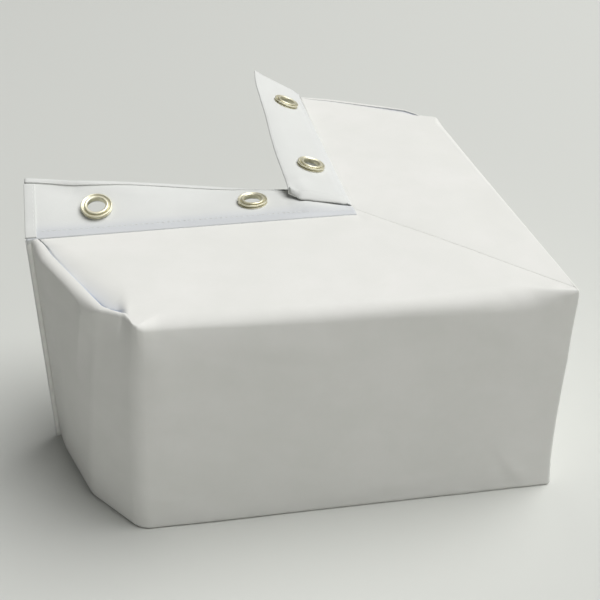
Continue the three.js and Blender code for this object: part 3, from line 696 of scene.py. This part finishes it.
# Along the section, where the cloth turns over the seam, where it sweeps from its curl to its
# lean, and where its free edge curls over, each as a start and a run
TURN, SWEEP, TAIL = (-0.8, 1.2), (3, 8.4), (30.6, 11.4)


def eased(table, length):
    """Value at a length from a table of lengths and values, eased between them."""
    marks = [row[0] for row in table]
    i = int(np.clip(np.searchsorted(marks, length) - 1, 0, len(marks) - 2))
    share = smooth(length, marks[i], marks[i + 1])
    return [low + (high - low) * share for low, high in zip(table[i][1:], table[i + 1][1:])]


def flange_line(leg, length):
    """Depth, height and heading along the flange's section at a length, from the crease out."""
    lean, curl = (math.radians(angle) for angle in eased(FLANGE[leg]["shape"], length))
    tail = math.radians(np.interp(length, *zip(*FLANGE[leg]["edge"])))
    above = ABOVE_STEPS
    upright = math.pi / 2
    (turn, turn_run), (sweep, sweep_run), (over, over_run) = TURN, SWEEP, TAIL
    angle = np.select(
        [above < turn, above < turn + turn_run, above < sweep, above < sweep + sweep_run, above < over],
        [upright, upright + (lean + curl - upright) * (above - turn) / turn_run, lean + curl,
         lean + curl * (1 - (above - sweep) / sweep_run), lean],
        lean - tail * (above - over) / over_run,
    )
    middle = (angle[1:] + angle[:-1]) / 2
    depth = SHEET_DEPTH + np.concatenate(([0], np.cumsum(np.cos(middle) * FLANGE_STEP)))
    height = CREASE + np.concatenate(([0], np.cumsum(np.sin(middle) * FLANGE_STEP)))
    return depth, height, angle


# Length along the left leg, then how far its flange stands proud under the right one
UNDERLAP = (
    (104.5, -0.6), (110, 0.5), (113, 1.2), (121, 2.8), (129, 3.9), (136, 4.4), (141, 3.6), (147, 1.8),
    (155, 0.6), (163, 0), (310, 0),
)


def flange_waves(leg, length, above):
    """Soft dents of the flange out of its own plane, in mm."""
    settle = -0.35 * smooth(above, 5, 12)
    if leg == "left":
        under = from_table(UNDERLAP, length) * smooth(above, 2.5, 12) * (1 - smooth(above, 24, 38))
        ripple = 0.3 * math.sin(length / 13) * smooth(above, 4, 14) * (1 - smooth(above, 36, 42))
        beside_grommets = 1 - hump(length, 169, 16) - hump(length, 267, 16)
        return settle + under + ripple * beside_grommets
    dent = -1.5 * hump(length, 124, 7) * hump(above, 37, 5)
    dent += 0.8 * hump(length, 136, 8) * hump(above, 33, 6)
    droop = max(123 - length, 0) ** 2 * (0.062 * smooth(above, 1.5, 6) + 0.025 * smooth(above, 8, 26))
    return settle + (dent - droop)


# Length of a sheet's bend at the floor, how softly it starts, and how far its edge moves out there
BEND_LENGTH, BEND_EASE, BEND_OUT = 51, 3, 1.5
# The right flange's near free corner is cut off at a slant: its length, width and rise
CORNER_CUT, CORNER_WIDTH, CORNER_RISE = 9, 15, 7
LINES = {"left": {}, "right": {}}


def line_at(leg, length):
    """The flange's section at a length, worked out once."""
    if length not in LINES[leg]:
        LINES[leg][length] = flange_line(leg, length)
    return LINES[leg][length]


def sheet_point(leg, length, above, raised):
    """A point of a back sheet, at a distance above the crease and raised towards the front."""
    if above <= 0:
        height = PAD_HEIGHT + above
        curl = max(1 - height / CREASE, 0)
        bend = max(length - (BEND_FROM - BEND_SOONER * curl), 0)
        bend = bend - BEND_EASE * (1 - math.exp(-bend / BEND_EASE))
        depth = SHEET_DEPTH - BEND_DEPTH / BEND_LENGTH * bend - raised
        length = length + BEND_OUT * curl * smooth(length, 280, PANEL_EDGE)
        return on_plan(leg, (length, depth)).tolist() + [height]
    depth, height, angle = (np.interp(above, ABOVE_STEPS, values) for values in line_at(leg, length))
    raised = raised + flange_waves(leg, length, above)
    if leg == "right":
        near_end = max(1 - (length - RIGHT_START) / CORNER_WIDTH, 0)
        length += CORNER_CUT * near_end * max(above - (FLANGE_HEIGHT - CORNER_RISE), 0) / CORNER_RISE
    plan = on_plan(leg, (length, depth - math.sin(angle) * raised))
    return plan.tolist() + [height + math.cos(angle) * raised]


def columns_between(start, end, step=1.5):
    """Lengths from start to end, about step apart."""
    return [float(length) for length in np.linspace(start, end, int((end - start) / step) + 1)]


def painted_crease_shade(leg, length, above):
    """Share of the blue-grey painted shade just above the crease, and of the painted shadow under the right
    flange.
    """
    mark = hump(above, 2.5, 6) * (1.0 if leg == "left" else 0.25) if above > -1 else 0
    # Painted shadow on the left flange where the right flange lies over it
    if leg == "left":
        painted_shadow_under_flange = 0.7 * (1 - smooth(length, 112, 122)) * smooth(above, 3, 6) * (1 - smooth(above, 36, 42))
        mark = max(mark, painted_shadow_under_flange)
    return mark


def strip(name, leg, lengths, section):
    """A mesh of one column of points for each length, section giving above and raised."""
    grid = np.array([[sheet_point(leg, length, *place) for place in section] for length in lengths])
    painted_shade_marks = [painted_crease_shade(leg, length, above) for length in lengths for above, _ in section]
    return skin_from_grid(name, grid, leg == "left", painted_shade_marks)


def turned_edge(edge, side=1):
    """The tight half turn of a hem at an edge: side is -1 where the sheet lies beyond the edge."""
    middle = edge - side * FOLD_RADIUS
    return [(middle + side * FOLD_RADIUS * math.sin(angle), FOLD_RADIUS * (1 - math.cos(angle)))
            for angle in np.linspace(0, math.pi, 9)]


# The free edge is folded over and sewn down, to the front on the left flange and to the back
# on the right one
free_fold = turned_edge(FLANGE_HEIGHT) + [(above, 2 * FOLD_RADIUS) for above in (40.5, 39.6, 39.0)]
flat_rows = np.concatenate((np.arange(FLANGE_FOOT, 4, 0.5), np.arange(4, 41.4, 1.1)))
flat_section = [(float(above), 0.0) for above in flat_rows]
flange_sections = {
    "left": flat_section + free_fold,
    "right": flat_section + [(above, -raised) for above, raised in free_fold],
}
panel_section = [(float(above), 0.0) for above in np.linspace(-PAD_HEIGHT, FLANGE_FOOT, 50)]

# The flanges and hems are the same fabric as the cover. Their darker colour is painted shade that holds the
# upturned flanges down to the tone of the top, and their fourth colour is the blue-grey painted shade at the
# crease
flange_vinyl_painted_shade = coated_cloth(
    "white_flange_vinyl_painted_shade", (0.735, 0.745, 0.72), (0.715, 0.725, 0.7), 0.2, (0.63, 0.65, 0.675), 0.0)
# The back panel below the crease is the same fabric again, in a brighter copy: painted light that lifts the
# shaded strip beside each end
back_vinyl_painted_light = coated_cloth(
    "white_back_vinyl_painted_light", (0.9, 0.905, 0.86), (0.88, 0.885, 0.84), 0.2, (0.9, 0.9, 0.88), 0.0)
# Middle of each grommet in mm, and the way it faces
SEATS = {
    "left_1": ((-15.975, -28.808, 154.194), (0, 0.0175, 0.9998)),
    "left_2": ((-113.975, -29.517, 158.597), (0, -0.3502, 0.9367)),
    "right_1": ((29.714, 8.975, 158.257), (0.2487, 0, 0.9686)),
    "right_2": ((30.863, 114.975, 160.450), (0.3584, 0, 0.9336)),
}
HOLE_RADIUS = 6.3


def seat_matrix(seat):
    centre, normal = SEATS[seat]
    turn = Vector((0, 0, 1)).rotation_difference(Vector(normal)).to_matrix().to_4x4()
    return Matrix.Translation(Vector(centre) * 0.001) @ turn


def cover_with(piece, material):
    piece.data.materials.clear()
    piece.data.materials.append(material)


sheets = {}
for leg in ("left", "right"):
    facts = FLANGE[leg]
    last = PANEL_EDGE - FOLD_RADIUS
    panel = strip(leg + "_panel", leg, columns_between(facts["panel"], last), panel_section)
    flange = strip(leg + "_back_sheet", leg, columns_between(facts["start"], last), flange_sections[leg])
    only(flange)
    panel.select_set(True)
    bpy.ops.object.join()
    bpy.ops.object.mode_set(mode="EDIT")
    bpy.ops.mesh.select_all(action="SELECT")
    bpy.ops.mesh.remove_doubles(threshold=0.0002)
    bpy.ops.object.mode_set(mode="OBJECT")
    solidify(flange, SHEET_THICKNESS, 0)
    for seat in (leg + "_1", leg + "_2"):
        bpy.ops.object.select_all(action="DESELECT")
        bpy.ops.mesh.primitive_cylinder_add(vertices=64, radius=HOLE_RADIUS * 0.001, depth=0.008)
        punch = bpy.context.object
        punch.data.transform(seat_matrix(seat))
        hole = flange.modifiers.new("hole", "BOOLEAN")
        hole.object = punch
        hole.operation = "DIFFERENCE"
        only(flange)
        bpy.ops.object.modifier_apply(modifier="hole")
        bpy.data.objects.remove(punch)
    cover_with(flange, flange_vinyl_painted_shade)
    flange.data.materials.append(back_vinyl_painted_light)
    # Faces below the crease take the brighter painted-light copy
    for face in flange.data.polygons:
        if face.center.z < CREASE * 0.001 - 0.0005:
            face.material_index = 1
    sheets[leg] = flange


# Hems. The far side edge of each sheet, and the right flange's near end, are folded over and
# sewn down as flat strips of the same fabric.
SIDE_HEM = 6.5
END_HEM = 6.0
HEM_RAISED = 2 * FOLD_RADIUS
hems = {"left": [], "right": []}
side_columns = (308, 306.5, 305, 304, PANEL_EDGE - SIDE_HEM)
end_columns = (1.5, 3, 4.5, 5.5, END_HEM)
side_rows = [0.4, 1, 1.6, 2.3, 3] + list(np.linspace(4, 38.2, 30))
foot_rows = list(np.linspace(-PAD_HEIGHT, -0.6, 40))
end_rows = list(np.linspace(2.5, 41.2, 34))


def hem_strip(name, leg, section, rows):
    """A folded strip: section gives length and raised, rows the distances above the crease."""
    grid = np.array([
        [sheet_point(leg, length, above, raised) for above in rows] for length, raised in section])
    piece = skin_from_grid(name, grid, leg == "left")
    solidify(piece, SHEET_THICKNESS - 0.02, 0)
    cover_with(piece, flange_vinyl_painted_shade)
    hems[leg].append(piece)


for leg in ("left", "right"):
    section = turned_edge(PANEL_EDGE) + [(float(length), HEM_RAISED) for length in side_columns]
    behind = [(length, -raised) for length, raised in section]
    hem_strip(leg + "_side_hem", leg, section if leg == "left" else behind, side_rows)
    hem_strip(leg + "_foot_hem", leg, behind, foot_rows)
end_section = turned_edge(RIGHT_START, -1) + [(RIGHT_START + along, HEM_RAISED) for along in end_columns]
hem_strip("right_end_hem", "right", end_section, end_rows)

for leg in ("left", "right"):
    for piece in [sheets[leg], *hems[leg]]:
        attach(piece, "root")
    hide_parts(leg + "_back_panel")


# Grommets. Spun brass: an eyelet with its back flange and a barrel through the sheet, rolled
# over a dished washer at the front. One of each is made and set in all four seats.
# Both sections are drawn as radius and height in mm
EYELET = (
    (5.6, -0.72), (5.65, -0.87), (5.85, -1.02), (6.4, -1.07), (8.4, -1.07), (9.1, -1.0), (9.5, -0.82),
    (9.6, -0.62), (9.5, -0.42), (9.1, -0.34), (6.15, -0.34), (6.1, 1.12), (6.6, 1.24), (7.25, 1.24),
    (7.5, 1.34), (7.6, 1.54), (7.5, 1.8), (7.2, 2.04), (6.8, 2.16), (6.4, 2.16), (6.05, 2.04), (5.78, 1.82),
    (5.64, 1.52), (5.6, 1.22),
)
WASHER = (
    (6.35, 0.34), (9.2, 0.34), (9.5, 0.44), (9.6, 0.67), (9.6, 1.17), (9.54, 1.42), (9.38, 1.58),
    (9.15, 1.62), (8.9, 1.54), (8.6, 1.32), (8.25, 1.1), (7.8, 0.98), (7.3, 0.94), (6.35, 0.94),
)
RING_STEPS = 64


def spun(name, profile, steps):
    """A ring of brass turned from a closed profile of radius and height in mm."""
    bpy.ops.object.select_all(action="DESELECT")
    bpy.ops.mesh.primitive_circle_add(vertices=len(profile), radius=0.001)
    ring = bpy.context.object
    ring.name = name
    for vertex, (radius, height) in zip(ring.data.vertices, profile):
        vertex.co = (radius * 0.001, 0, height * 0.001)
    bpy.ops.object.mode_set(mode="EDIT")
    bpy.ops.mesh.select_all(action="SELECT")
    bpy.ops.mesh.spin(steps=steps, angle=2 * math.pi, center=(0, 0, 0), axis=(0, 0, 1))
    bpy.ops.mesh.select_all(action="SELECT")
    bpy.ops.mesh.remove_doubles(threshold=0.000005)
    bpy.ops.mesh.normals_make_consistent(inside=False)
    bpy.ops.object.mode_set(mode="OBJECT")
    bpy.ops.object.shade_smooth()
    return ring


brass = bpy.data.materials.new("pale_brass")
brass.use_nodes = True
shader = brass.node_tree.nodes["Principled BSDF"]
shader.inputs["Metallic"].default_value = 0.6
place = node(brass.node_tree, "ShaderNodeTexCoord")
cloud = node(brass.node_tree, "ShaderNodeTexNoise", Scale=260.0, Detail=4.0)
scratch = node(brass.node_tree, "ShaderNodeTexNoise", Scale=1600.0, Detail=2.0)
hue = node(brass.node_tree, "ShaderNodeValToRGB")
hue.color_ramp.elements[0].position = 0.3
hue.color_ramp.elements[0].color = (0.74, 0.7, 0.5, 1)
hue.color_ramp.elements[1].position = 0.62
hue.color_ramp.elements[1].color = (0.9, 0.87, 0.68, 1)
polish = node(brass.node_tree, "ShaderNodeMapRange", To_Min=0.3, To_Max=0.45)
marks = node(brass.node_tree, "ShaderNodeBump", Strength=0.12, Distance=0.0001)
for target in (cloud, scratch):
    wire(brass.node_tree, (place, "Object", target, "Vector"))
wire(
    brass.node_tree, (cloud, "Fac", hue, "Fac"), (hue, "Color", shader, "Base Color"),
    (cloud, "Fac", polish, "Value"), (polish, 0, shader, "Roughness"),
    (scratch, "Fac", marks, "Height"), (marks, "Normal", shader, "Normal"),
)

for part, profile in (("eyelet", EYELET), ("washer", WASHER)):
    pattern = spun(part + "_pattern", profile, RING_STEPS)
    pattern.data.materials.append(brass)
    for seat in SEATS:
        leg, number = seat.split("_")
        ring = bpy.data.objects.new(f"{leg}_brass_{part}_{number}", pattern.data.copy())
        scene.collection.objects.link(ring)
        ring.data.transform(seat_matrix(seat))
        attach(ring, "root")
        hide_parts(f"{leg}_{part}_{number}")
    bpy.data.objects.remove(pattern)


# Sewing thread. White polyester, lock-stitched in rows along the crease and along each hem of
# the flanges. Every stitch is the same short bead of thread, bedded into the cloth.
STITCH_LENGTH = 2.6
STITCH_GAP = 0.7
THREAD_RADIUS = 0.16
# Rows run this far above the crease, and this far along the leg
CREASE_ROW, FREE_ROW = 4.6, 40.1
SIDE_ROW, END_ROW = 305.0, 121.5
BEDDED = 0.04


def stitch_row(name, leg, places):
    """Stitches along a line of points on a sheet, each given as length, above and raised."""
    points = np.array([sheet_point(leg, *place) for place in places]) + (ORIGIN, -ORIGIN, 0)
    run = np.concatenate(([0], np.cumsum(np.linalg.norm(np.diff(points, axis=0), axis=1))))
    sides, rings = 6, 5
    vertices, faces = [], []

    def along_row(distance):
        return np.array([np.interp(distance, run, points[:, axis]) for axis in range(3)])

    for start in np.arange(0.5, run[-1] - STITCH_LENGTH, STITCH_LENGTH + STITCH_GAP):
        first = len(vertices)
        for k in range(rings):
            share = k / (rings - 1)
            at = along_row(start + STITCH_LENGTH * share)
            ahead = along_row(start + STITCH_LENGTH) - along_row(start)
            ahead /= np.linalg.norm(ahead)
            side = np.cross(ahead, (0, 0, 1))
            side /= np.linalg.norm(side)
            up = np.cross(side, ahead)
            thick = THREAD_RADIUS * (0.35 + 0.65 * math.sin(math.pi * (0.12 + 0.76 * share)) ** 0.5)
            sink = 0.2 * (1 - math.sin(math.pi * share))
            for j in range(sides):
                angle = 2 * math.pi * j / sides
                vertices.append(at - up * sink + thick * (side * math.cos(angle) + up * math.sin(angle)))
        for k in range(rings - 1):
            for j in range(sides):
                a, b = first + k * sides + j, first + k * sides + (j + 1) % sides
                faces.append((a, a + sides, b + sides, b))
        faces.append(tuple(first + j for j in range(sides)))
        faces.append(tuple(first + (rings - 1) * sides + j for j in reversed(range(sides))))
    mesh = bpy.data.meshes.new(name)
    mesh.from_pydata((np.array(vertices) * 0.001).tolist(), [], faces)
    mesh.shade_smooth()
    piece = bpy.data.objects.new(name, mesh)
    scene.collection.objects.link(piece)
    piece.data.materials.append(thread)
    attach(piece, "root")
    return piece


thread = bpy.data.materials.new("white_thread")
thread.use_nodes = True
shader = thread.node_tree.nodes["Principled BSDF"]
place = node(thread.node_tree, "ShaderNodeTexCoord")
twist = node(thread.node_tree, "ShaderNodeTexWave", Scale=900.0, Distortion=2.0)
ply = node(thread.node_tree, "ShaderNodeValToRGB")
ply.color_ramp.elements[0].color = (0.72, 0.725, 0.7, 1)
ply.color_ramp.elements[1].color = (0.8, 0.805, 0.78, 1)
plies = node(thread.node_tree, "ShaderNodeBump", Strength=0.4, Distance=0.0002)
shader.inputs["Roughness"].default_value = 0.6
shader.inputs["Sheen Weight"].default_value = 0.3
wire(
    thread.node_tree, (place, "Object", twist, "Vector"), (twist, "Fac", ply, "Fac"),
    (ply, "Color", shader, "Base Color"), (twist, "Fac", plies, "Height"),
    (plies, "Normal", shader, "Normal"),
)

for leg in ("left", "right"):
    start = FLANGE[leg]["start"]
    front = SHEET_THICKNESS / 2
    hem_front = front + HEM_RAISED
    along = columns_between(start + 2, 302, 2.0)
    stitch_row(leg + "_crease_stitches", leg, [(length, CREASE_ROW, front + 0.02) for length in along])
    raised = (hem_front if leg == "left" else front) - BEDDED
    stitch_row(leg + "_free_hem_stitches", leg, [(length, FREE_ROW, raised) for length in along])
    side_places = [(SIDE_ROW, float(above), raised) for above in np.linspace(4, 38, 40)]
    stitch_row(leg + "_side_hem_stitches", leg, side_places)
end_places = [(END_ROW, float(above), hem_front - BEDDED) for above in np.linspace(4, 37, 40)]
stitch_row("right_end_hem_stitches", "right", end_places)


# Floor and light. The floor is a wide pale sweep of studio paper that the bumper stands on.
# One large soft lamp hangs high on the right, a weaker one in front fills the shadows, and the
# pale surroundings are brightest near the horizon.
bpy.ops.object.select_all(action="DESELECT")
bpy.ops.mesh.primitive_plane_add(size=40, location=(0, 0, 0))
floor = bpy.context.object
floor.name = "studio_floor"
floor_paint = bpy.data.materials.new("studio_floor")
floor_paint.use_nodes = True
shader = floor_paint.node_tree.nodes["Principled BSDF"]
shader.inputs["Base Color"].default_value = (0.64, 0.65, 0.615, 1)
shader.inputs["Roughness"].default_value = 0.9
floor.data.materials.append(floor_paint)

world = bpy.data.worlds.new("studio")
world.use_nodes = True
background = world.node_tree.nodes["Background"]
background.inputs["Color"].default_value = (1, 1, 1, 1)
sky_way = node(world.node_tree, "ShaderNodeTexCoord")
sky_parts = node(world.node_tree, "ShaderNodeSeparateXYZ")
horizon = node(world.node_tree, "ShaderNodeMapRange", From_Min=0.02, From_Max=0.22, To_Min=0.6, To_Max=0.06)
wire(
    world.node_tree, (sky_way, "Generated", sky_parts, "Vector"),
    (sky_parts, "Z", horizon, "Value"), (horizon, 0, background, "Strength"),
)
scene.world = world


def softbox(name, place, size, power):
    """A round soft lamp at a place in metres, turned to the object."""
    lamp = bpy.data.lights.new(name, "AREA")
    lamp.shape = "DISK"
    lamp.size = size
    lamp.energy = power
    light = bpy.data.objects.new(name, lamp)
    scene.collection.objects.link(light)
    light.location = place
    light.rotation_mode = "QUATERNION"
    light.rotation_quaternion = (-Vector(place)).to_track_quat("-Z", "Y")


softbox("key_softbox", (2.8, 0.3, 6.4), 6.2, 572)
softbox("fill_softbox", (0.8, -7.0, 2.2), 4.0, 48)
